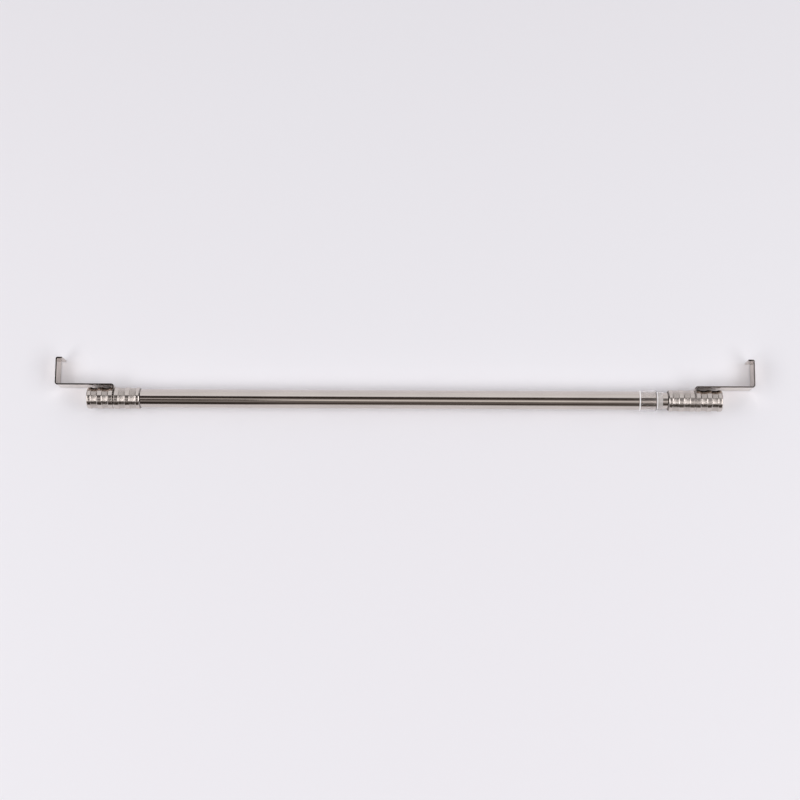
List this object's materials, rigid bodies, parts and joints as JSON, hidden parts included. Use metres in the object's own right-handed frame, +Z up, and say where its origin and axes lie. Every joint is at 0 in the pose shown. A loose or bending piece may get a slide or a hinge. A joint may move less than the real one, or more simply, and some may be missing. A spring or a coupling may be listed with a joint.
{
  "type": "telescopic curtain rod with sash brackets",
  "caption": "Slim telescopic metal curtain rod with ribbed screw-on end knobs that clamp bent flat-steel hook brackets, which grip round a window sash without drilling.",
  "frame": {"origin": "middle of the object's box, on the surface that the rod lies on", "axes": "+X along the rod from the fixed left end to the sliding right end, +Y from the rod towards the window that the brackets hook round, +Z up"},
  "size_m": [0.6096, 0.0446, 0.0188],
  "materials": {
    "polished_nickel": "polished, bright nickel plate",
    "polished_strip": "bright nickel plate on flat steel strip",
    "zinc_steel": "zinc-plated steel, satin",
    "brass": "turned brass",
    "clear_plastic": "clear, glossy moulded plastic",
    "white_nylon": "natural nylon, matt"
  },
  "bodies": {
    "outer_rod": {"outer_tube": "polished_nickel", "clear_end_sleeve": "clear_plastic", "left_end_plug": "white_nylon", "left_stud": "zinc_steel", "left_collar": "polished_nickel"},
    "guide_bush": {"guide_bush": "white_nylon"},
    "inner_rod": {"inner_tube": "polished_nickel", "reducer_bush": "white_nylon", "right_end_plug": "white_nylon", "right_stud": "zinc_steel", "right_collar": "polished_nickel"},
    "left_bracket": {"left_bracket": "polished_strip"},
    "right_bracket": {"right_bracket": "polished_strip"},
    "left_washer": {"left_washer": "zinc_steel"},
    "right_washer": {"right_washer": "zinc_steel"},
    "left_knob": {"left_knob": "polished_nickel", "left_knob_insert": "brass"},
    "right_knob": {"right_knob": "polished_nickel", "right_knob_insert": "brass"}
  },
  "joints": [
    {"name": "rod_extension", "type": "slide", "parent": "outer_rod", "child": "guide_bush", "axis": [1, 0, 0], "range_m": [-0.0043, 0.39]},
    {"name": "tube_twist", "type": "hinge", "parent": "guide_bush", "child": "inner_rod", "pos_m": [0, -0.01285, 0.0094], "axis": [1, 0, 0], "continuous": true},
    {"name": "left_bracket_swivel", "type": "hinge", "parent": "outer_rod", "child": "left_bracket", "pos_m": [-0.2533, -0.01285, 0.0094], "axis": [1, 0, 0], "continuous": true},
    {"name": "right_bracket_swivel", "type": "hinge", "parent": "inner_rod", "child": "right_bracket", "pos_m": [0.2533, -0.01285, 0.0094], "axis": [1, 0, 0], "continuous": true},
    {"name": "left_knob_travel", "type": "slide", "parent": "outer_rod", "child": "left_washer", "axis": [-1, 0, 0], "range_m": [0, 0.0032]},
    {"name": "left_knob_turn", "type": "hinge", "parent": "left_washer", "child": "left_knob", "pos_m": [-0.2655, -0.01285, 0.0094], "axis": [-1, 0, 0], "range_deg": [0, 1441]},
    {"name": "right_knob_travel", "type": "slide", "parent": "inner_rod", "child": "right_washer", "axis": [1, 0, 0], "range_m": [0, 0.0032]},
    {"name": "right_knob_turn", "type": "hinge", "parent": "right_washer", "child": "right_knob", "pos_m": [0.2655, -0.01285, 0.0094], "axis": [1, 0, 0], "range_deg": [0, 1441]}
  ],
  "couplings": [
    {"joint": "left_knob_turn", "follows": "left_knob_travel", "rad_per_m": 7854},
    {"joint": "right_knob_turn", "follows": "right_knob_travel", "rad_per_m": 7854}
  ]
}
